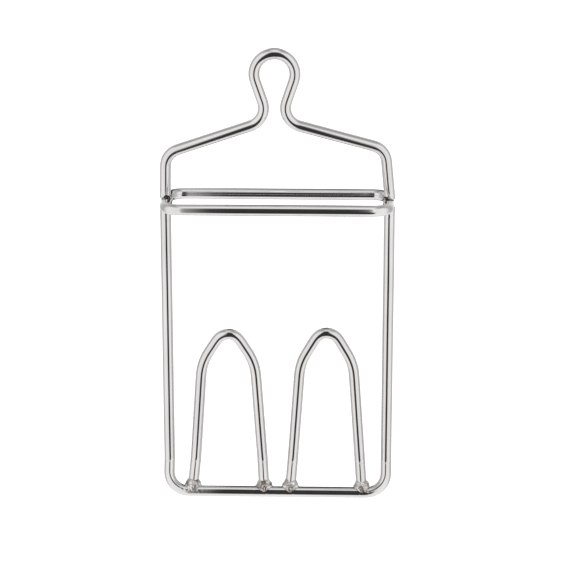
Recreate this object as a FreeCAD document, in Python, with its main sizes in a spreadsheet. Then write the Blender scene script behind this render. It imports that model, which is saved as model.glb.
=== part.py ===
import FreeCAD, Part
import math
import os
import Sketcher

# Hanging drying rack bent from round stainless wire, in millimetres.
# +Z is up, the rack faces -Y, and the origin is the centre of the hanging eye.
# A keyhole-shaped top wire stands on a level rail ring. A U-shaped frame wire hangs below the
# ring, its foot bent forward, and two pointed loops stand on the frame's bottom bar.

Vector = FreeCAD.Vector
doc = FreeCAD.newDocument("wire_drying_hanger")

DIMENSIONS = [
    ("wire_diameter", 5.0),
    # hanging eye, neck and shoulders, measured from the centre of the eye
    ("eye_bend_radius", 9.2),
    ("neck_gap", 4.8),
    ("neck_bend_radius", 8.5),
    ("neck_drop", 15.4),
    ("corner_bend_radius", 8.0),
    ("right_corner_reach", 42.6),
    ("right_corner_drop", 40.1),
    ("right_foot_reach", 52.3),
    ("left_corner_reach", 41.5),
    ("left_corner_drop", 42.3),
    ("left_foot_reach", 49.8),
    # rail ring, frame and loops share a centre line a little to the right of the eye
    ("frame_offset", 1.2),
    ("ring_drop", 58.8),
    ("ring_length", 100.8),
    ("ring_depth", 32.0),
    ("ring_corner_radius", 6.9),
    ("side_spacing", 102.0),
    ("foot_bend_drop", 183.2),
    ("foot_bend_angle", 30.0),
    ("foot_bend_radius", 4.0),
    ("foot_length", 15.6),
    ("frame_corner_radius", 9.2),
    # pointed loops, measured from the centre line and from the eye
    ("loop_spacing", 45.8),
    ("left_loop_peak_drop", 116.4),
    ("right_loop_peak_drop", 114.7),
    ("loop_shoulder_drop", 135.6),
    ("loop_shoulder_width", 24.7),
    ("loop_shoulder_radius", 24.0),
    ("loop_crown_radius", 6.3),
    ("loop_leg_flare", 4.1),
    # welds: how far a wire end sinks into the wire it stands on, and the bead's half sizes
    ("weld_set_down", 0.6),
    ("ring_bead_half_length", 3.7),
    ("ring_bead_half_width", 2.35),
    ("ring_bead_half_height", 1.5),
    ("loop_bead_half_length", 4.0),
    ("loop_bead_half_width", 3.1),
    ("loop_bead_half_height", 4.2),
]

sheet = doc.addObject("Spreadsheet::Sheet", "Sizes")
for row, (alias, value) in enumerate(DIMENSIONS, start=1):
    sheet.set("A%d" % row, alias)
    sheet.set("B%d" % row, str(value))
    sheet.setAlias("B%d" % row, alias)
doc.recompute()


def size(alias):
    return float(sheet.get(alias))


def origin_plane(body, role):
    for feature in body.Origin.OriginFeatures:
        if feature.Role == role:
            return feature
    raise ValueError("no origin plane " + role)


def add_sketch(body, name, role):
    sketch = body.newObject("Sketcher::SketchObject", name)
    sketch.AttachmentSupport = [(origin_plane(body, role), "")]
    sketch.MapMode = "FlatFace"
    return sketch


def constrain(sketch, name, expression, *constraint):
    """Add a named dimension to a sketch and bind it to the sheet."""
    index = sketch.addConstraint(Sketcher.Constraint(*constraint))
    sketch.renameConstraint(index, name)
    sketch.setExpression("Constraints." + name, expression)


def wire_section(body, name, axis, expression):
    """The round cross-section of the wire, set off from the origin along Y or Z of its body."""
    sketch = add_sketch(body, name, "YZ_Plane")
    radius = size("wire_diameter") / 2
    sketch.addGeometry(Part.Circle(Vector(0, 0, 0), Vector(0, 0, 1), radius))
    sketch.addConstraint(Sketcher.Constraint("Coincident", 0, 3, -1, 1))
    constrain(sketch, "wire_radius", "Sizes.wire_diameter / 2", "Radius", 0, radius)
    # the plane's own x runs along the body's Y, and its y along the body's Z
    plane_axis = {"Y": "x", "Z": "y"}[axis]
    sketch.setExpression("AttachmentOffset.Base." + plane_axis, expression)
    doc.recompute()
    return sketch


def add_pipe(body, name, section, spine):
    pipe = body.newObject("PartDesign::AdditivePipe", name)
    pipe.Profile = section
    pipe.Spine = (spine, ["Edge%d" % (i + 1) for i in range(spine.GeometryCount)])
    pipe.Mode = "Standard"
    doc.recompute()
    return pipe


def polar(centre, radius, angle):
    """A point of the XZ sketch plane at an angle, in radians, round a centre."""
    return centre + Vector(radius * math.cos(angle), radius * math.sin(angle), 0)


def arc_between(centre, radius, start, end):
    return Part.ArcOfCircle(Part.Circle(centre, Vector(0, 0, 1), radius), start, end)


# ---- rail ring: one level rounded rectangle of wire ----

def make_rail_ring():
    body = doc.addObject("PartDesign::Body", "RailRing")
    path = add_sketch(body, "RingPath", "XY_Plane")
    half_length = size("ring_length") / 2
    half_depth = size("ring_depth") / 2
    radius = size("ring_corner_radius")
    inner_x = half_length - radius
    inner_y = half_depth - radius
    lines = [
        (Vector(0, half_depth, 0), Vector(-inner_x, half_depth, 0)),
        (Vector(-half_length, inner_y, 0), Vector(-half_length, -inner_y, 0)),
        (Vector(-inner_x, -half_depth, 0), Vector(inner_x, -half_depth, 0)),
        (Vector(half_length, -inner_y, 0), Vector(half_length, inner_y, 0)),
        (Vector(inner_x, half_depth, 0), Vector(0, half_depth, 0)),
    ]
    centres = [
        Vector(-inner_x, inner_y, 0),
        Vector(-inner_x, -inner_y, 0),
        Vector(inner_x, -inner_y, 0),
        Vector(inner_x, inner_y, 0),
    ]
    # the path runs line, corner, line, corner ... round from the middle of the back rail
    for i, (start, end) in enumerate(lines):
        path.addGeometry(Part.LineSegment(start, end))
        if i < len(centres):
            first = math.pi / 2 * (i + 1)
            path.addGeometry(arc_between(centres[i], radius, first, first + math.pi / 2))
    for line in range(0, 8, 2):
        corner = line + 1
        path.addConstraint(Sketcher.Constraint("Tangent", line, 2, corner, 1))
        path.addConstraint(Sketcher.Constraint("Tangent", corner, 2, line + 2, 1))
    path.addConstraint(Sketcher.Constraint("Coincident", 0, 1, 8, 2))
    for line in (0, 4, 8):
        path.addConstraint(Sketcher.Constraint("Horizontal", line))
    for line in (2, 6):
        path.addConstraint(Sketcher.Constraint("Vertical", line))
    for corner in (3, 5, 7):
        path.addConstraint(Sketcher.Constraint("Equal", 1, corner))
    path.addConstraint(Sketcher.Constraint("PointOnObject", 0, 1, -2))
    constrain(path, "corner_radius", "Sizes.ring_corner_radius", "Radius", 1, radius)
    constrain(path, "back", "Sizes.ring_depth / 2", "DistanceY", -1, 1, 0, 1, half_depth)
    constrain(path, "front", "Sizes.ring_depth / 2", "DistanceY", 4, 1, -1, 1, half_depth)
    constrain(path, "left", "Sizes.ring_length / 2", "DistanceX", 2, 1, -1, 1, half_length)
    constrain(path, "right", "Sizes.ring_length / 2", "DistanceX", -1, 1, 6, 1, half_length)
    section = wire_section(body, "RingSection", "Y", "Sizes.ring_depth / 2")
    add_pipe(body, "RingPipe", section, path)
    body.setExpression("Placement.Base.x", "Sizes.frame_offset")
    body.setExpression("Placement.Base.z", "-Sizes.ring_drop")
    body.Label = "rail_ring"
    return body


# ---- top wire: hanging eye, neck, shoulders and short legs ----

def make_top_wire_half(body, name, side, section):
    """One half of the top wire, from the top of the eye to the leg end. side is +1 on the right."""
    prefix = "right" if side > 0 else "left"
    eye = size("eye_bend_radius")
    neck = size("neck_bend_radius")
    corner = size("corner_bend_radius")
    neck_reach = (size("neck_gap") + size("wire_diameter")) / 2 + neck
    neck_centre = Vector(neck_reach, -size("neck_drop"), 0)
    corner_centre = Vector(size(prefix + "_corner_reach"), -size(prefix + "_corner_drop"), 0)
    leg_end_drop = size("ring_drop") - size("wire_diameter") / 2 + size("weld_set_down")
    leg_end = Vector(size(prefix + "_foot_reach"), -leg_end_drop, 0)

    # directions, from each bend's centre, of the points where the straight runs touch it
    neck_distance = neck_centre.Length
    neck_bearing = math.atan2(neck_centre.y, neck_centre.x)
    slant = neck_bearing + math.acos((eye + neck) / neck_distance)
    across = corner_centre - neck_centre
    bearing = math.atan2(across.y, across.x)
    shoulder = bearing + math.acos(-(neck + corner) / across.Length) + math.pi
    drop = leg_end - corner_centre
    leg = math.atan2(drop.y, drop.x) + math.acos(corner / drop.Length)
    shoulder_on_corner = shoulder - math.pi

    def at(point):
        return Vector(side * point.x, point.y, 0)

    def arc(centre, radius, start, end):
        if side > 0:
            return arc_between(at(centre), radius, start, end)
        return arc_between(at(centre), radius, math.pi - end, math.pi - start)

    origin = Vector(0, 0, 0)
    path = add_sketch(body, name + "Path", "XZ_Plane")
    path.addGeometry(arc(origin, eye, slant, math.pi / 2))
    slant_start = polar(origin, eye, slant)
    slant_end = polar(neck_centre, neck, slant + math.pi)
    path.addGeometry(Part.LineSegment(at(slant_start), at(slant_end)))
    path.addGeometry(arc(neck_centre, neck, slant + math.pi, shoulder))
    shoulder_start = polar(neck_centre, neck, shoulder)
    shoulder_end = polar(corner_centre, corner, shoulder_on_corner)
    path.addGeometry(Part.LineSegment(at(shoulder_start), at(shoulder_end)))
    path.addGeometry(arc(corner_centre, corner, leg, shoulder_on_corner))
    path.addGeometry(Part.LineSegment(at(polar(corner_centre, corner, leg)), at(leg_end)))

    # an arc's ends swap over when the half is mirrored
    low, high = (1, 2) if side > 0 else (2, 1)
    joins = [(0, low, 1, 1), (1, 2, 2, low), (2, high, 3, 1), (3, 2, 4, high), (4, low, 5, 1)]
    for first, first_end, second, second_end in joins:
        path.addConstraint(Sketcher.Constraint("Tangent", first, first_end, second, second_end))
    path.addConstraint(Sketcher.Constraint("Coincident", 0, 3, -1, 1))
    path.addConstraint(Sketcher.Constraint("PointOnObject", 0, high, -2))
    constrain(path, "eye_radius", "Sizes.eye_bend_radius", "Radius", 0, eye)
    constrain(path, "neck_radius", "Sizes.neck_bend_radius", "Radius", 2, neck)
    constrain(path, "corner_radius", "Sizes.corner_bend_radius", "Radius", 4, corner)

    reaches = [
        ("neck_reach", 2, 3, neck_reach,
         "(Sizes.neck_gap + Sizes.wire_diameter) / 2 + Sizes.neck_bend_radius"),
        ("corner_reach", 4, 3, corner_centre.x, "Sizes.%s_corner_reach" % prefix),
        ("leg_reach", 5, 2, leg_end.x, "Sizes.%s_foot_reach" % prefix),
    ]
    for label, geometry, point, value, expression in reaches:
        ends = (-1, 1, geometry, point) if side > 0 else (geometry, point, -1, 1)
        constrain(path, label, expression, "DistanceX", *ends, value)
    drops = [
        ("neck_drop", 2, 3, -neck_centre.y, "Sizes.neck_drop"),
        ("corner_drop", 4, 3, -corner_centre.y, "Sizes.%s_corner_drop" % prefix),
        ("leg_drop", 5, 2, leg_end_drop,
         "Sizes.ring_drop - Sizes.wire_diameter / 2 + Sizes.weld_set_down"),
    ]
    for label, geometry, point, value, expression in drops:
        constrain(path, label, expression, "DistanceY", geometry, point, -1, 1, value)
    doc.recompute()
    add_pipe(body, name + "Pipe", section, path)


def make_top_wire(ring):
    body = doc.addObject("PartDesign::Body", "TopWire")
    section = wire_section(body, "EyeSection", "Z", "Sizes.eye_bend_radius")
    make_top_wire_half(body, "RightHalf", 1, section)
    make_top_wire_half(body, "LeftHalf", -1, section)
    return cut_by("hanger_top_wire", body, ring)


# ---- wires bent in two planes: straight runs joined by tangent arcs ----

def bent_path(name, corners, radii):
    """A path through corners, each rounded to its own radius."""
    edges = []
    start = corners[0]
    for before, corner, after, radius in zip(corners, corners[1:], corners[2:], radii):
        back = (before - corner).normalize()
        ahead = (after - corner).normalize()
        half_angle = back.getAngle(ahead) / 2
        tangent = radius / math.tan(half_angle)
        middle = (back + ahead).normalize()
        apex = corner + middle * (radius / math.sin(half_angle) - radius)
        first = corner + back * tangent
        last = corner + ahead * tangent
        edges.append(Part.LineSegment(start, first).toShape())
        edges.append(Part.Arc(first, apex, last).toShape())
        start = last
    edges.append(Part.LineSegment(start, corners[-1]).toShape())
    path = doc.addObject("Part::Feature", name)
    path.Shape = Part.Wire(edges)
    return path


def swept_wire(name, corners, radii):
    """A round wire swept along a bent path."""
    path = bent_path(name + "Path", corners, radii)
    section = doc.addObject("Part::Circle", name + "Section")
    section.setExpression("Radius", "Sizes.wire_diameter / 2")
    turn = FreeCAD.Rotation(Vector(0, 0, 1), corners[1] - corners[0])
    section.Placement = FreeCAD.Placement(corners[0], turn)
    sweep = doc.addObject("Part::Sweep", name)
    sweep.Sections = [section]
    sweep.Spine = (path, ["Edge%d" % (i + 1) for i in range(len(path.Shape.Edges))])
    sweep.Solid = True
    sweep.Frenet = False
    doc.recompute()
    return sweep


def on_foot(reach, along):
    """A point of the forward-bent foot: across the frame, and down from the bend line."""
    angle = math.radians(size("foot_bend_angle"))
    forward = -along * math.sin(angle)
    down = -size("foot_bend_drop") - along * math.cos(angle)
    return Vector(size("frame_offset") + reach, forward, down)


def on_frame(reach, drop):
    """A point of the upright frame plane."""
    return Vector(size("frame_offset") + reach, 0, -drop)


def cut_by(label, base, *tools):
    """The base with its ends shaped to the wires it meets."""
    result = base
    for i, tool in enumerate(tools):
        cut = doc.addObject("Part::Cut", "%sCut%d" % (base.Name, i + 1))
        cut.Base = result
        cut.Tool = tool
        result = cut
    doc.recompute()
    result.Label = label
    return result


def make_frame_wire(ring):
    reach = size("side_spacing") / 2
    top = size("ring_drop") + size("wire_diameter") / 2 - size("weld_set_down")
    bend = size("foot_bend_drop")
    foot = size("foot_length")
    corners = [
        on_frame(reach, top),
        on_frame(reach, bend),
        on_foot(reach, foot),
        on_foot(-reach, foot),
        on_frame(-reach, bend),
        on_frame(-reach, top),
    ]
    bend_radius = size("foot_bend_radius")
    corner_radius = size("frame_corner_radius")
    radii = [bend_radius, corner_radius, corner_radius, bend_radius]
    return cut_by("frame_wire", swept_wire("FrameWire", corners, radii), ring)


def loop_leg_reaches(along):
    """Half the distance between a loop's legs at the bend line, and lower down the foot."""
    flare = math.tan(math.radians(size("loop_leg_flare")))
    upright = size("foot_bend_drop") - size("loop_shoulder_drop")
    at_bend = size("loop_shoulder_width") / 2 + flare * upright
    return at_bend, at_bend + flare * along


def make_loop(label, name, side, peak_drop, frame_wire):
    centre = side * size("loop_spacing") / 2
    shoulder = size("loop_shoulder_width") / 2
    shoulder_drop = size("loop_shoulder_drop")
    bend = size("foot_bend_drop")
    leg_end = size("foot_length") - size("wire_diameter") / 2 + size("weld_set_down")
    at_bend, at_end = loop_leg_reaches(leg_end)
    corners = [
        on_foot(centre - at_end, leg_end),
        on_frame(centre - at_bend, bend),
        on_frame(centre - shoulder, shoulder_drop),
        on_frame(centre, peak_drop),
        on_frame(centre + shoulder, shoulder_drop),
        on_frame(centre + at_bend, bend),
        on_foot(centre + at_end, leg_end),
    ]
    bend_radius = size("foot_bend_radius")
    shoulder_radius = size("loop_shoulder_radius")
    crown_radius = size("loop_crown_radius")
    radii = [bend_radius, shoulder_radius, crown_radius, shoulder_radius, bend_radius]
    return cut_by(label, swept_wire(name, corners, radii), frame_wire)


# ---- weld beads: small lumps in the corner between a wire end and the wire it stands on ----

def make_bead(label, kind, place, tilt, *wires):
    """kind names the bead's half sizes. Its long way lies along the wire underneath."""
    bead = doc.addObject("Part::Ellipsoid", "Bead_" + label)
    bead.setExpression("Radius1", "Sizes.%s_bead_half_height" % kind)
    bead.setExpression("Radius2", "Sizes.%s_bead_half_length" % kind)
    bead.setExpression("Radius3", "Sizes.%s_bead_half_width" % kind)
    bead.Placement = FreeCAD.Placement(place, tilt)
    doc.recompute()
    return cut_by(label, bead, *wires)


def make_ring_beads(ring, top_wire, frame_wire):
    along_rail = FreeCAD.Rotation(Vector(0, 0, 1), 90)
    contact = size("wire_diameter") / 2 - size("weld_set_down")
    reach = size("ring_length") / 2
    beads = []
    for side_name, side in (("left", -1), ("right", 1)):
        above = on_frame(side * reach, size("ring_drop") - contact)
        below = on_frame(side * reach, size("ring_drop") + contact)
        upper_label = "upper_ring_weld_" + side_name
        lower_label = "lower_ring_weld_" + side_name
        beads.append(make_bead(upper_label, "ring", above, along_rail, ring, top_wire))
        beads.append(make_bead(lower_label, "ring", below, along_rail, ring, frame_wire))
    return beads


def make_loop_beads(frame_wire, loops):
    tilt = FreeCAD.Rotation(Vector(1, 0, 0), -size("foot_bend_angle"))
    along = size("foot_length") - size("wire_diameter") / 2 + size("weld_set_down")
    reach_at_end = loop_leg_reaches(along)[1]
    beads = []
    for loop_name, side, loop in loops:
        centre = side * size("loop_spacing") / 2
        for leg_name, leg in (("left", -1), ("right", 1)):
            place = on_foot(centre + leg * reach_at_end, along)
            label = "%s_loop_weld_%s" % (loop_name, leg_name)
            beads.append(make_bead(label, "loop", place, tilt, frame_wire, loop))
    return beads


rail_ring = make_rail_ring()
hanger_top_wire = make_top_wire(rail_ring)
frame_wire = make_frame_wire(rail_ring)
loop_left = make_loop("loop_left", "LoopLeft", -1, size("left_loop_peak_drop"), frame_wire)
loop_right = make_loop("loop_right", "LoopRight", 1, size("right_loop_peak_drop"), frame_wire)
loops = [("left", -1, loop_left), ("right", 1, loop_right)]

subparts = [rail_ring, hanger_top_wire, frame_wire, loop_left, loop_right]
subparts += make_ring_beads(rail_ring, hanger_top_wire, frame_wire)
subparts += make_loop_beads(frame_wire, loops)
doc.recompute()

for item in doc.Objects:
    if "Invalid" in item.State or "Error" in item.State:
        raise RuntimeError("%s failed: %s" % (item.Name, item.State))
for part in subparts:
    if part.Shape.isNull() or not part.Shape.isValid():
        raise RuntimeError(part.Label + " has no valid shape")
    if len(part.Shape.Solids) != 1:
        raise RuntimeError("%s has %d solids" % (part.Label, len(part.Shape.Solids)))

os.makedirs("parts", exist_ok=True)
for part in subparts:
    part.Shape.exportStep("parts/%s.step" % part.Label)
    box = part.Shape.BoundBox
    print("%-24s %8.1f mm3  x %7.2f %7.2f  y %7.2f %7.2f  z %8.2f %8.2f" % (
        part.Label, part.Shape.Volume, box.XMin, box.XMax, box.YMin, box.YMax, box.ZMin, box.ZMax))
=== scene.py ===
import math

import bpy
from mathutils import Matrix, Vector, noise


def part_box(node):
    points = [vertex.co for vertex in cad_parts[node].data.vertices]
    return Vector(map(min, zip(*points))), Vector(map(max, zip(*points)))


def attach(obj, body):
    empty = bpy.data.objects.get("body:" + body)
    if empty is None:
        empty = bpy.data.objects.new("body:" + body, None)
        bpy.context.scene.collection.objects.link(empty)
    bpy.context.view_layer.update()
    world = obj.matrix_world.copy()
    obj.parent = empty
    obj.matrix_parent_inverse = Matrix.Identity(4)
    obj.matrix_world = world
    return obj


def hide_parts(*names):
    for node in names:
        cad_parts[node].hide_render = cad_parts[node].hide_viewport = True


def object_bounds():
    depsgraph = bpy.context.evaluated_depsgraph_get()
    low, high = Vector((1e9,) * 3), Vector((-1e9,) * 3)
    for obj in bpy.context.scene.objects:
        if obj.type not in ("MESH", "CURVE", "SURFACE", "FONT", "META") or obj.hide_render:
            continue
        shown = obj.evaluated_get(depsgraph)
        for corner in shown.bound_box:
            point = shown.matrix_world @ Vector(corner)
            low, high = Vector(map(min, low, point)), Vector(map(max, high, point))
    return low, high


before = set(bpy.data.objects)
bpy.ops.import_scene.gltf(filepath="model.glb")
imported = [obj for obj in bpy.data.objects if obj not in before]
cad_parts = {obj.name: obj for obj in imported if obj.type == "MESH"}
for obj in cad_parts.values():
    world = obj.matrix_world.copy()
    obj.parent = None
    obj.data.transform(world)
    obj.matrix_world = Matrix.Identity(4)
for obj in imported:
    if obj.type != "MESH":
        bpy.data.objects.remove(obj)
CAD_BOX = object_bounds()

# A welded wire drying hanger: five bent stainless wires and eight weld beads. It has no moving
# parts, so every piece rides on the one body. The wires are rebuilt as smooth round tubes on the
# design's own centre lines, and the beads as lumpy metal on the design's own solids.
# Lengths are in metres.

MM = 0.001
BODY = "root"
BENT_FEET = ("frame_wire", "loop_left", "loop_right")
WELDS = sorted(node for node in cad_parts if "_weld_" in node)

# The design's own dimensions. The ring's and the frame wire's outer sizes come from their boxes.
NECK_GAP = 4.8 * MM
EYE_BEND = 9.2 * MM
NECK_BEND = 8.5 * MM
NECK_DROP = 15.4 * MM
CORNER_BEND = 8.0 * MM
SHOULDERS = {
    1: {"corner": (42.6 * MM, 40.1 * MM), "foot": 52.3 * MM},
    -1: {"corner": (41.5 * MM, 42.3 * MM), "foot": 49.8 * MM},
}
RING_CORNER = 6.9 * MM
FOOT_BEND_DROP = 183.2 * MM
FOOT_ANGLE = math.radians(30.0)
FOOT_BEND = 4.0 * MM
FOOT_LENGTH = 15.6 * MM
FRAME_CORNER = 9.2 * MM
LOOP_SPACING = 45.8 * MM
LOOP_PEAK_DROPS = {-1: 116.4 * MM, 1: 114.7 * MM}
LOOP_SHOULDER_DROP = 135.6 * MM
LOOP_SHOULDER_WIDTH = 24.7 * MM
LOOP_SHOULDER_BEND = 24.0 * MM
LOOP_CROWN_BEND = 6.3 * MM
LOOP_FLARE = math.tan(math.radians(4.1))
SET_DOWN = 0.6 * MM

RING_LOW, RING_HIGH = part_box("rail_ring")
WIRE_RADIUS = (RING_HIGH.z - RING_LOW.z) / 2
RING_MIDDLE = (RING_LOW + RING_HIGH) / 2
FRAME_LOW, FRAME_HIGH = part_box("frame_wire")
FRAME_MIDDLE_X = (FRAME_LOW.x + FRAME_HIGH.x) / 2
SIDE_REACH = (FRAME_HIGH.x - FRAME_LOW.x) / 2 - WIRE_RADIUS

# How finely the tubes are built, how gradually they bend, and how far they stray from their line.
TUBE_SIDES = 40
RUN_STEP = 0.5 * MM
ARC_STEP = math.radians(4.0)
EASE_PASSES = 14
WAVER = 0.05 * MM
WAVER_LENGTH = 28.0 * MM
WAVER_SEED = 1


# ---- shader helper ----

class Shader:
    """A material's or world's node tree, with short calls for the nodes used here."""

    def __init__(self, owner):
        owner.use_nodes = True
        self.tree = owner.node_tree
        self.tree.nodes.clear()

    def feed(self, socket, value):
        if isinstance(value, bpy.types.NodeSocket):
            self.tree.links.new(value, socket)
        else:
            socket.default_value = value

    def node(self, kind, settings=None, **inputs):
        made = self.tree.nodes.new(kind)
        for name, value in (settings or {}).items():
            setattr(made, name, value)
        for name, value in inputs.items():
            self.feed(made.inputs[name.replace("_", " ")], value)
        return made

    def math(self, operation, first, second=0.0):
        made = self.node("ShaderNodeMath", {"operation": operation})
        self.feed(made.inputs[0], first)
        self.feed(made.inputs[1], second)
        return made.outputs[0]

    def ramp(self, value, stops):
        """A colour ramp from (position, grey) stops."""
        made = self.node("ShaderNodeValToRGB", Fac=value)
        elements = made.color_ramp.elements
        while len(elements) < len(stops):
            elements.new(1.0)
        for element, (position, grey) in zip(elements, stops):
            element.position = position
            element.color = (grey, grey, grey, 1.0)
        return made.outputs["Color"]

    def remap(self, value, low, high, to_low=0.0, to_high=1.0):
        made = self.node("ShaderNodeMapRange", Value=value)
        for index, number in enumerate((low, high, to_low, to_high), start=1):
            made.inputs[index].default_value = number
        return made.outputs["Result"]

    def mix(self, amount, first, second):
        """A mix of two colours."""
        made = self.node("ShaderNodeMix", {"data_type": "RGBA"})
        self.feed(made.inputs[0], amount)
        self.feed(made.inputs[6], first)
        self.feed(made.inputs[7], second)
        return made.outputs[2]

    def noise(self, vector, scale, detail):
        made = self.node("ShaderNodeTexNoise", Vector=vector, Scale=scale, Detail=detail)
        return made.outputs["Fac"]

    def blend(self, amount, first, second):
        """A mix of two shaders."""
        made = self.node("ShaderNodeMixShader")
        self.feed(made.inputs[0], amount)
        self.feed(made.inputs[1], first)
        self.feed(made.inputs[2], second)
        return made.outputs[0]

    def bump(self, height, strength, depth):
        made = self.node("ShaderNodeBump", Strength=strength, Distance=depth, Height=height)
        return made.outputs["Normal"]

    def metal(self, colour, gloss, bump):
        """Bare metal of a given colour, roughness and bump."""
        made = self.node("ShaderNodeBsdfPrincipled", Metallic=1.0, Roughness=gloss)
        self.feed(made.inputs["Base Color"], colour)
        self.feed(made.inputs["Normal"], bump)
        return made.outputs[0]

    def scaled(self, vector, scale):
        made = self.node("ShaderNodeMapping", Vector=vector)
        made.inputs["Scale"].default_value = scale
        return made.outputs["Vector"]

    def finish(self, kind, surface):
        output = self.node(kind)
        self.feed(output.inputs["Surface"], surface)


# ---- materials ----

STEEL = (0.77, 0.76, 0.752, 1.0)
STEEL_DULL = (0.71, 0.70, 0.69, 1.0)
HEAT_BROWN = (0.34, 0.25, 0.20, 1.0)
WELD_LIGHT = (0.86, 0.83, 0.82, 1.0)
WELD_GREY = (0.56, 0.53, 0.51, 1.0)
WELD_DARK = (0.20, 0.16, 0.14, 1.0)
BURNT = (0.055, 0.035, 0.028, 1.0)

DRAWN_LINE_SCALE = (90.0, 14.0, 1.0)
RUB_SCALE = 160.0
PATCH_SCALE = 28.0
LEAST_TINT = 0.55
MOST_TINT = 1.25
CLEAN_ROUGHNESS = 0.045
RUBBED_ROUGHNESS = 0.11
DRAWN_ROUGHNESS = 0.03
TINT_ROUGHNESS = 0.22
DRAWN_STRENGTH = 0.25
DRAWN_DEPTH = 0.012 * MM

WELD_PATCH_SCALE = 420.0
WELD_GRAIN_SCALE = 1800.0
WELD_ROUGHEST = 0.42
WELD_SMOOTHEST = 0.14
GRAIN_STRENGTH = 0.6
GRAIN_DEPTH = 0.08 * MM
FOOT_WELD_DARKNESS = (0.34, 0.46)
RING_WELD_DARKNESS = (0.44, 0.56)


def polished_wire():
    """Mirror-polished drawn wire: faint lines along it, small rubs, heat tint near the welds."""
    material = bpy.data.materials.new("polished_stainless_wire")
    shader = Shader(material)
    along = shader.node("ShaderNodeUVMap", {"uv_map": "along_wire"}).outputs["UV"]
    place = shader.node("ShaderNodeTexCoord").outputs["Object"]
    heat = shader.node("ShaderNodeAttribute", {"attribute_name": "heat"}).outputs["Fac"]

    drawn_lines = shader.noise(shader.scaled(along, DRAWN_LINE_SCALE), 1.0, 4.0)
    rubs = shader.noise(place, RUB_SCALE, 5.0)
    patches = shader.noise(place, PATCH_SCALE, 2.0)
    uneven = shader.remap(rubs, 0.3, 0.7, LEAST_TINT, MOST_TINT)
    tint_edge = shader.math("MULTIPLY", heat, uneven)

    clean = shader.mix(shader.remap(patches, 0.35, 0.65), STEEL_DULL, STEEL)
    colour = shader.mix(tint_edge, clean, HEAT_BROWN)
    gloss = shader.remap(rubs, 0.45, 0.75, CLEAN_ROUGHNESS, RUBBED_ROUGHNESS)
    gloss = shader.math("ADD", gloss, shader.remap(drawn_lines, 0.3, 0.8, 0.0, DRAWN_ROUGHNESS))
    gloss = shader.math("ADD", gloss, shader.math("MULTIPLY", tint_edge, TINT_ROUGHNESS))
    bump = shader.bump(drawn_lines, DRAWN_STRENGTH, DRAWN_DEPTH)
    shader.finish("ShaderNodeOutputMaterial", shader.metal(colour, gloss, bump))
    return material


def weld_metal(name, darkest, dark_from, dark_to):
    """Weld bead: bright, grey and brown in patches. The last two numbers say how much is dark."""
    material = bpy.data.materials.new(name)
    shader = Shader(material)
    place = shader.node("ShaderNodeTexCoord").outputs["Object"]
    lumps = shader.noise(place, WELD_PATCH_SCALE, 4.0)
    grains = shader.noise(place, WELD_GRAIN_SCALE, 4.0)
    colour = shader.mix(shader.remap(lumps, dark_from, dark_to), darkest, WELD_GREY)
    colour = shader.mix(shader.remap(lumps, 0.5, 0.66), colour, WELD_LIGHT)
    gloss = shader.remap(lumps, 0.35, 0.65, WELD_ROUGHEST, WELD_SMOOTHEST)
    bump = shader.bump(grains, GRAIN_STRENGTH, GRAIN_DEPTH)
    shader.finish("ShaderNodeOutputMaterial", shader.metal(colour, gloss, bump))
    return material


# ---- centre lines of the wires ----

def arc_points(centre, radius, start, end, across, up):
    """Points round a centre from one angle to another, in the plane of two directions."""
    steps = max(2, math.ceil(abs(end - start) / ARC_STEP))
    points = []
    for step in range(steps + 1):
        angle = start + (end - start) * step / steps
        points.append(centre + (across * math.cos(angle) + up * math.sin(angle)) * radius)
    return points


def rounded_line(corners, radii):
    """Straight runs between corners, each corner rounded to its own radius."""
    points = [corners[0]]
    for before, corner, after, radius in zip(corners, corners[1:], corners[2:], radii):
        back = (before - corner).normalized()
        ahead = (after - corner).normalized()
        half = back.angle(ahead) / 2
        centre = corner + (back + ahead).normalized() * (radius / math.sin(half))
        first = corner + back * (radius / math.tan(half))
        across = (first - centre).normalized()
        up = -back
        points += arc_points(centre, radius, 0.0, math.pi - 2 * half, across, up)
    points.append(corners[-1])
    return points


def top_wire_half(side):
    """From the top of the eye down one side to the end of its leg. side is 1 on the right."""
    across = Vector((side, 0, 0))
    up = Vector((0, 0, 1))

    def at(x, z):
        return across * x + up * z

    corner_x, corner_drop = SHOULDERS[side]["corner"]
    eye = at(0, 0)
    neck = at(NECK_GAP / 2 + WIRE_RADIUS + NECK_BEND, -NECK_DROP)
    corner = at(corner_x, -corner_drop)
    foot = at(SHOULDERS[side]["foot"], RING_MIDDLE.z + WIRE_RADIUS - SET_DOWN)

    def bearing(start, end):
        step = end - start
        return math.atan2(step.dot(up), step.dot(across)), step.length

    direction, distance = bearing(eye, neck)
    slant = direction + math.acos((EYE_BEND + NECK_BEND) / distance)
    direction, distance = bearing(neck, corner)
    shoulder = direction + math.acos(-(NECK_BEND + CORNER_BEND) / distance) + math.pi
    direction, distance = bearing(corner, foot)
    leg = direction + math.acos(CORNER_BEND / distance)
    points = arc_points(eye, EYE_BEND, math.pi / 2, slant, across, up)
    points += arc_points(neck, NECK_BEND, slant + math.pi, shoulder, across, up)
    points += arc_points(corner, CORNER_BEND, shoulder - math.pi, leg, across, up)
    return points + [foot]


def top_wire_line():
    return list(reversed(top_wire_half(-1))) + top_wire_half(1)[1:]


def ring_line():
    half_x = (RING_HIGH.x - RING_LOW.x) / 2 - WIRE_RADIUS
    half_y = (RING_HIGH.y - RING_LOW.y) / 2 - WIRE_RADIUS
    turns = [(0, 1), (-1, 1), (-1, -1), (1, -1), (1, 1), (0, 1)]
    corners = [RING_MIDDLE + Vector((half_x * x, half_y * y, 0)) for x, y in turns]
    return rounded_line(corners, [RING_CORNER] * 4)[:-1]


def on_frame(reach, height):
    return Vector((FRAME_MIDDLE_X + reach, 0, height))


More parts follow.
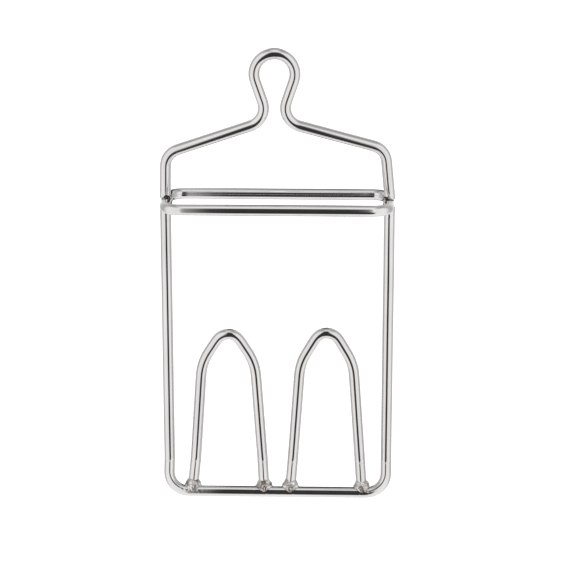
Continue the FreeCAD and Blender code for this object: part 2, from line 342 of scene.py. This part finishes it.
def on_foot(reach, along):
    """A point of the foot: across the frame, and down from the bend line."""
    forward = -along * math.sin(FOOT_ANGLE)
    height = -FOOT_BEND_DROP - along * math.cos(FOOT_ANGLE)
    return Vector((FRAME_MIDDLE_X + reach, forward, height))


def frame_line():
    top = RING_MIDDLE.z - WIRE_RADIUS + SET_DOWN
    corners = [
        on_frame(SIDE_REACH, top),
        on_frame(SIDE_REACH, -FOOT_BEND_DROP),
        on_foot(SIDE_REACH, FOOT_LENGTH),
        on_foot(-SIDE_REACH, FOOT_LENGTH),
        on_frame(-SIDE_REACH, -FOOT_BEND_DROP),
        on_frame(-SIDE_REACH, top),
    ]
    return rounded_line(corners, [FOOT_BEND, FRAME_CORNER, FRAME_CORNER, FOOT_BEND])


def loop_line(side):
    middle = side * LOOP_SPACING / 2
    shoulder = LOOP_SHOULDER_WIDTH / 2
    at_bend = shoulder + LOOP_FLARE * (FOOT_BEND_DROP - LOOP_SHOULDER_DROP)
    leg_end = FOOT_LENGTH - WIRE_RADIUS + SET_DOWN
    at_end = at_bend + LOOP_FLARE * leg_end
    corners = [
        on_foot(middle - at_end, leg_end),
        on_frame(middle - at_bend, -FOOT_BEND_DROP),
        on_frame(middle - shoulder, -LOOP_SHOULDER_DROP),
        on_frame(middle, -LOOP_PEAK_DROPS[side]),
        on_frame(middle + shoulder, -LOOP_SHOULDER_DROP),
        on_frame(middle + at_bend, -FOOT_BEND_DROP),
        on_foot(middle + at_end, leg_end),
    ]
    bends = [FOOT_BEND, LOOP_SHOULDER_BEND, LOOP_CROWN_BEND, LOOP_SHOULDER_BEND, FOOT_BEND]
    return rounded_line(corners, bends)


# ---- tubes ----

def with_even_runs(points, closed):
    """The same line with no step longer than RUN_STEP."""
    ends = points[1:] + points[:1] if closed else points[1:]
    line = []
    for start, end in zip(points, ends):
        pieces = max(1, math.ceil((end - start).length / RUN_STEP))
        line += [start.lerp(end, piece / pieces) for piece in range(pieces)]
    if not closed:
        line.append(points[-1])
    return line


def wavered(points, seed):
    """A real wire's slight straying from its line, which its reflections show."""
    moved = []
    for point in points:
        place = point / WAVER_LENGTH + Vector((seed, 0, 0))
        moved.append(point + noise.noise_vector(place) * WAVER)
    return moved


def directions(points, closed):
    count = len(points)
    along = []
    for index in range(count):
        before = points[index - 1] if index or closed else points[0]
        after = points[(index + 1) % count] if index < count - 1 or closed else points[-1]
        along.append((after - before).normalized())
    return along


def eased(points, closed):
    """The same line with its bends begun gradually, as bent wire does."""
    count = len(points)
    for _ in range(EASE_PASSES):
        smoother = []
        for index, point in enumerate(points):
            if not closed and index in (0, count - 1):
                smoother.append(point)
                continue
            before = points[index - 1]
            after = points[(index + 1) % count]
            smoother.append(point * 0.5 + (before + after) * 0.25)
        points = smoother
    return points


def make_tube(name, points, closed=False, seed=0.0):
    """A round tube along a line, with a UV map that runs round it and along it, in millimetres."""
    points = wavered(eased(with_even_runs(points, closed), closed), seed)
    along = directions(points, closed)
    side = along[0].orthogonal().normalized()
    vertices = []
    travelled = [0.0]
    for index, (point, direction) in enumerate(zip(points, along)):
        side = (side - direction * side.dot(direction)).normalized()
        other = direction.cross(side)
        for step in range(TUBE_SIDES):
            angle = 2 * math.pi * step / TUBE_SIDES
            outward = side * math.cos(angle) + other * math.sin(angle)
            vertices.append(point + outward * WIRE_RADIUS)
        following = points[(index + 1) % len(points)]
        travelled.append(travelled[-1] + (following - point).length)

    faces = []
    uvs = []
    spans = len(points) if closed else len(points) - 1
    shift = 0
    if closed:
        last = vertices[-TUBE_SIDES]
        gaps = [(last - vertices[step]).length for step in range(TUBE_SIDES)]
        shift = gaps.index(min(gaps))
    for span in range(spans):
        near = span * TUBE_SIDES
        wraps = span == len(points) - 1
        far = 0 if wraps else near + TUBE_SIDES
        turn = shift if wraps else 0
        for step in range(TUBE_SIDES):
            following = (step + 1) % TUBE_SIDES
            faces.append((
                near + step,
                near + following,
                far + (following + turn) % TUBE_SIDES,
                far + (step + turn) % TUBE_SIDES,
            ))
            start = travelled[span] / MM
            end = travelled[span + 1] / MM
            uvs += [
                (step / TUBE_SIDES, start),
                ((step + 1) / TUBE_SIDES, start),
                ((step + 1) / TUBE_SIDES, end),
                (step / TUBE_SIDES, end),
            ]
    if not closed:
        last_ring = len(vertices) - TUBE_SIDES
        faces.append(tuple(reversed(range(TUBE_SIDES))))
        faces.append(tuple(range(last_ring, last_ring + TUBE_SIDES)))
        uvs += [(0.0, 0.0)] * (2 * TUBE_SIDES)
    return mesh_object(name, vertices, faces, uvs)


def mesh_object(name, vertices, faces, uvs=None):
    mesh = bpy.data.meshes.new(name)
    mesh.from_pydata(vertices, [], faces)
    if uvs:
        layer = mesh.uv_layers.new(name="along_wire")
        for corner, uv in zip(layer.data, uvs):
            corner.uv = uv
    made = bpy.data.objects.new(name, mesh)
    bpy.context.scene.collection.objects.link(made)
    return made


# ---- marks on the wires ----

HEAT_REACH = 3.6 * MM
SPATTER_REACH = 4.5 * MM
SPATTER_GRAIN = 1.1 * MM
SPATTER_HEIGHT = 0.30 * MM
SPATTER_SPARSENESS = 0.12
PRESS_DEPTH = 0.30 * MM
PRESS_LENGTH = 0.65 * MM


def lift_surface(mesh, lift_at):
    """Move each vertex along its normal by what lift_at says for it."""
    lifts = [vertex.normal * lift_at(vertex) for vertex in mesh.vertices]
    for vertex, lift in zip(mesh.vertices, lifts):
        vertex.co += lift


def nearness(place, weld_places, reach):
    """1 at a weld, fading to 0 over a few reaches."""
    nearest = min((place - weld).length for weld in weld_places)
    return math.exp(-((nearest / reach) ** 2))


def add_heat(mesh, weld_places):
    """A mesh attribute that says how near each point of a wire is to a weld."""
    heat = mesh.attributes.new("heat", "FLOAT", "POINT")
    for vertex, value in zip(mesh.vertices, heat.data):
        value.value = nearness(vertex.co, weld_places, HEAT_REACH)


def add_spatter(mesh, weld_places):
    """Small uneven specks of weld on a wire beside its beads."""

    def speck(vertex):
        height = max(0.0, noise.noise(vertex.co / SPATTER_GRAIN) - SPATTER_SPARSENESS)
        return height * nearness(vertex.co, weld_places, SPATTER_REACH) * SPATTER_HEIGHT

    lift_surface(mesh, speck)


def add_press_mark(mesh):
    """The dent that the bending tool leaves across the front of each leg, at the foot's bend."""

    def dent(vertex):
        off = (vertex.co.z + FOOT_BEND_DROP) / PRESS_LENGTH
        facing = max(0.0, -vertex.normal.y)
        return -PRESS_DEPTH * math.exp(-off * off) * facing * facing

    lift_surface(mesh, dent)


def finish_wire(piece, node, material, weld_places):
    mesh = piece.data
    smooth = [len(face.vertices) == 4 for face in mesh.polygons]
    mesh.polygons.foreach_set("use_smooth", smooth)
    mesh.materials.append(material)
    add_heat(mesh, weld_places)
    add_spatter(mesh, weld_places)
    if node in BENT_FEET:
        add_press_mark(mesh)
    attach(piece, BODY)
    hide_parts(node)


# ---- weld beads ----

BEAD_GRAIN = 0.17 * MM
LUMP_SIZE = 1.5 * MM
LUMP_HEIGHT = 0.26 * MM
RIPPLE_SIZE = 0.6 * MM
RIPPLE_HEIGHT = 0.12 * MM
CLIMB = 0.55
NARROWING = 0.30
SPREAD = 0.08
RING_SWELLING = Vector((0.04, 0.36, 0.45))


def middle_of(mesh):
    return sum((vertex.co for vertex in mesh.vertices), Vector()) / len(mesh.vertices)


def draw_up_the_leg(mesh):
    """Turn an egg-shaped foot bead into a skirt: wide on the bar and drawn up its leg."""
    up_leg = Vector((0, math.sin(FOOT_ANGLE), math.cos(FOOT_ANGLE)))
    middle = middle_of(mesh)
    tallest = max((vertex.co - middle).dot(up_leg) for vertex in mesh.vertices)
    for vertex in mesh.vertices:
        height = (vertex.co - middle).dot(up_leg)
        sideways = vertex.co - middle - up_leg * height
        if height <= 0:
            vertex.co += sideways * SPREAD
            continue
        share = height / tallest
        vertex.co += up_leg * (height * CLIMB) - sideways * (NARROWING * share * share)


def swell(mesh):
    """Make a bead on the ring stand prouder of its two wires."""
    middle = middle_of(mesh)
    for vertex in mesh.vertices:
        vertex.co += (vertex.co - middle) * RING_SWELLING


def lump(vertex):
    """How far a point of a bead stands out: large lumps with small ripples on them."""
    large = noise.noise(vertex.co / LUMP_SIZE) * LUMP_HEIGHT
    small = noise.noise(vertex.co / RIPPLE_SIZE) * RIPPLE_HEIGHT
    return large + small


def make_bead(node, material):
    """The design's bead, remeshed finely and made lumpy."""
    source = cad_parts[node]
    bead = bpy.data.objects.new(node + "_metal", source.data.copy())
    bpy.context.scene.collection.objects.link(bead)
    bead.data.materials.clear()
    remesh = bead.modifiers.new("remesh", "REMESH")
    remesh.mode = "VOXEL"
    remesh.voxel_size = BEAD_GRAIN
    view = bpy.context.evaluated_depsgraph_get()
    mesh = bpy.data.meshes.new_from_object(bead.evaluated_get(view))
    bead.modifiers.clear()
    bead.data = mesh
    if "_loop_" in node:
        draw_up_the_leg(mesh)
    else:
        swell(mesh)
    lift_surface(mesh, lump)
    mesh.polygons.foreach_set("use_smooth", [True] * len(mesh.polygons))
    mesh.materials.append(material)
    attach(bead, BODY)
    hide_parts(node)


# ---- camera ----

CAMERA_AZIMUTH = math.radians(2.0)
CAMERA_ELEVATION = math.radians(15.6)
CAMERA_DISTANCE = 0.918
CAMERA_LENS = 125.0
CLIP_START = 0.01
PIVOT_RISE = 2.45 * MM
AIM_RIGHT = 4.8 * MM
AIM_DOWN = 7.8 * MM


def make_camera(middle):
    data = bpy.data.cameras.new("camera")
    data.lens = CAMERA_LENS
    data.clip_start = CLIP_START
    camera = bpy.data.objects.new("camera", data)
    bpy.context.scene.collection.objects.link(camera)
    level = math.cos(CAMERA_ELEVATION)
    toward_camera = Vector((
        math.sin(CAMERA_AZIMUTH) * level,
        -math.cos(CAMERA_AZIMUTH) * level,
        math.sin(CAMERA_ELEVATION),
    ))
    pivot = middle + Vector((0, 0, PIVOT_RISE))
    camera.location = pivot + toward_camera * CAMERA_DISTANCE
    right = Vector((0, 0, 1)).cross(toward_camera).normalized()
    up = toward_camera.cross(right)
    aim = pivot + right * AIM_RIGHT - up * AIM_DOWN
    camera.rotation_euler = (aim - camera.location).to_track_quat("-Z", "Y").to_euler()
    bpy.context.scene.camera = camera


# ---- studio: pale floor, pale graded surround, and dark flags that only reflections see ----

# The surround's grades and the front flag's shape are made up. They were tuned to bring the
# brightness measured across the wires nearer the photograph's, in the front view. The back flag
# only keeps the back view from washing out.

SURROUND = 1.5
FLOOR_HALF = 8.0
FLOOR_DROP = 0.35
FLOOR_GREY = (0.9, 0.9, 0.9, 1.0)
FLOOR_ROUGHNESS = 0.9
FLOOR_GLOW = 0.6
WHITE = (1.0, 1.0, 1.0, 1.0)
OVERHEAD_GREY = (0.17, 0.165, 0.16, 1.0)
BELOW_GREY = (0.71, 0.70, 0.70, 1.0)

# The surround's grey by direction, from straight to the front at 0 to straight to the back at 1.
ROUND_ABOUT = [(0.0, 0.66), (0.3, 0.71), (0.45, 0.61), (0.6, 0.36), (0.75, 0.36), (1.0, 0.6)]

# Where the surround turns to its other greys, as parts of a direction of length 1.
BELOW_FROM = -0.35
BELOW_TO = -0.8
ASIDE_FROM = 0.10
ASIDE_TO = 0.30
OVERHEAD_FROM = 0.74
OVERHEAD_TO = 0.90
OVERHEAD_SHARE = 0.62


def make_world():
    world = bpy.data.worlds.new("studio")
    bpy.context.scene.world = world
    shader = Shader(world)
    looking = shader.node("ShaderNodeTexCoord").outputs["Generated"]
    split = shader.node("ShaderNodeSeparateXYZ", Vector=looking)
    depth = shader.remap(split.outputs["Y"], -1.0, 1.0)
    round_about = shader.ramp(depth, ROUND_ABOUT)
    below = shader.remap(split.outputs["Z"], BELOW_FROM, BELOW_TO)
    aside = shader.remap(shader.math("ABSOLUTE", split.outputs["X"]), ASIDE_FROM, ASIDE_TO)
    overhead = shader.remap(split.outputs["Z"], OVERHEAD_FROM, OVERHEAD_TO)
    aside = shader.math("MULTIPLY", aside, overhead)
    share = shader.math("MULTIPLY", aside, OVERHEAD_SHARE)
    round_about = shader.mix(share, round_about, OVERHEAD_GREY)
    brightness = shader.mix(below, round_about, BELOW_GREY)
    light = shader.node("ShaderNodeBackground", Color=brightness, Strength=SURROUND)
    plain = shader.node("ShaderNodeBackground", Color=WHITE, Strength=1.0)
    seen = shader.node("ShaderNodeLightPath").outputs["Is Camera Ray"]
    mixed = shader.blend(seen, light.outputs[0], plain.outputs[0])
    shader.finish("ShaderNodeOutputWorld", mixed)


def make_floor(middle, bottom):
    level = bottom - FLOOR_DROP
    sides = [(-1, -1), (1, -1), (1, 1), (-1, 1)]
    vertices = [(middle.x + x * FLOOR_HALF, middle.y + y * FLOOR_HALF, level) for x, y in sides]
    floor = mesh_object("floor", vertices, [(0, 1, 2, 3)])
    material = bpy.data.materials.new("pale_floor")
    shader = Shader(material)
    surface = shader.node("ShaderNodeBsdfPrincipled", Roughness=FLOOR_ROUGHNESS)
    surface.inputs["Base Color"].default_value = FLOOR_GREY
    surface.inputs["Emission Color"].default_value = WHITE
    surface.inputs["Emission Strength"].default_value = FLOOR_GLOW
    shader.finish("ShaderNodeOutputMaterial", surface.outputs[0])
    floor.data.materials.append(material)
    floor.visible_glossy = False


FLAG_DISTANCE = 0.24
FLAG_HALF = 0.2
FLAG_TOP = 0.35
FLAG_BOTTOM = -0.5
FLAG_SOFTNESS = 0.042
FLAG_GLOW = 0.04
TOP_FADE_FROM = 0.12
TOP_FADE_TO = 0.30
BOTTOM_FADE_FROM = -0.34
BOTTOM_FADE_TO = -0.46
BULGE_BEGINS = -0.10
BULGE_FULL = -0.16
BULGE_WANES = -0.27
BULGE_ENDS = -0.35
FRONT_LEFT = -0.087
FRONT_RIGHT = 0.082
FRONT_BULGE = 0.046
BACK_HALF = 0.075


def make_flag(name, distance, left_edge, right_edge, bulge):
    """An upright dark cloth with soft sides. bulge is how much further right its middle reaches."""
    corners = [(-1, FLAG_BOTTOM), (1, FLAG_BOTTOM), (1, FLAG_TOP), (-1, FLAG_TOP)]
    outline = [(side * FLAG_HALF, distance, z) for side, z in corners]
    flag = mesh_object(name, outline, [(0, 1, 2, 3)])
    material = bpy.data.materials.new(name)
    shader = Shader(material)
    place = shader.node("ShaderNodeTexCoord").outputs["Object"]
    split = shader.node("ShaderNodeSeparateXYZ", Vector=place)
    across = split.outputs["X"]
    height = split.outputs["Z"]
    right = shader.remap(height, BULGE_BEGINS, BULGE_FULL, right_edge, right_edge + bulge)
    waned = shader.remap(height, BULGE_WANES, BULGE_ENDS, 0.0, bulge)
    right = shader.math("SUBTRACT", right, waned)
    right_fade = shader.math("DIVIDE", shader.math("SUBTRACT", right, across), FLAG_SOFTNESS)
    right_side = shader.remap(right_fade, 0.0, 1.0)
    left_side = shader.remap(across, left_edge, left_edge + FLAG_SOFTNESS)
    cover = shader.math("MULTIPLY", right_side, left_side)
    top_fade = shader.remap(height, TOP_FADE_FROM, TOP_FADE_TO, 1.0, 0.0)
    bottom_fade = shader.remap(height, BOTTOM_FADE_FROM, BOTTOM_FADE_TO, 1.0, 0.0)
    cover = shader.math("MULTIPLY", cover, top_fade)
    cover = shader.math("MULTIPLY", cover, bottom_fade)
    cloth = shader.node("ShaderNodeEmission", Strength=FLAG_GLOW)
    clear = shader.node("ShaderNodeBsdfTransparent")
    mixed = shader.blend(cover, clear.outputs[0], cloth.outputs[0])
    shader.finish("ShaderNodeOutputMaterial", mixed)
    flag.data.materials.append(material)
    flag.visible_camera = False
    flag.visible_diffuse = False
    flag.visible_shadow = False


def weld_place(node):
    low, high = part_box(node)
    return (low + high) / 2


def main():
    low, high = (Vector(corner) for corner in CAD_BOX)
    middle = (low + high) / 2
    make_camera(middle)
    bpy.context.scene.view_settings.view_transform = "Standard"
    make_world()
    make_floor(middle, low.z)
    make_flag("front_flag", -FLAG_DISTANCE, FRONT_LEFT, FRONT_RIGHT, FRONT_BULGE)
    make_flag("back_flag", FLAG_DISTANCE, -BACK_HALF, BACK_HALF, 0.0)

    # noise_vector is seeded from the clock otherwise, and the wires would differ from run to run.
    noise.seed_set(WAVER_SEED)
    steel = polished_wire()
    foot_weld = weld_metal("foot_weld_metal", WELD_DARK, *FOOT_WELD_DARKNESS)
    ring_weld = weld_metal("ring_weld_metal", BURNT, *RING_WELD_DARKNESS)
    weld_places = [weld_place(node) for node in WELDS]
    wires = {
        "hanger_top_wire": make_tube("top_wire_steel", top_wire_line(), seed=1.0),
        "rail_ring": make_tube("rail_ring_steel", ring_line(), closed=True, seed=2.0),
        "frame_wire": make_tube("frame_wire_steel", frame_line(), seed=3.0),
        "loop_left": make_tube("loop_left_steel", loop_line(-1), seed=4.0),
        "loop_right": make_tube("loop_right_steel", loop_line(1), seed=5.0),
    }
    for node, piece in wires.items():
        finish_wire(piece, node, steel, weld_places)
    for node in WELDS:
        make_bead(node, foot_weld if "_loop_" in node else ring_weld)


main()
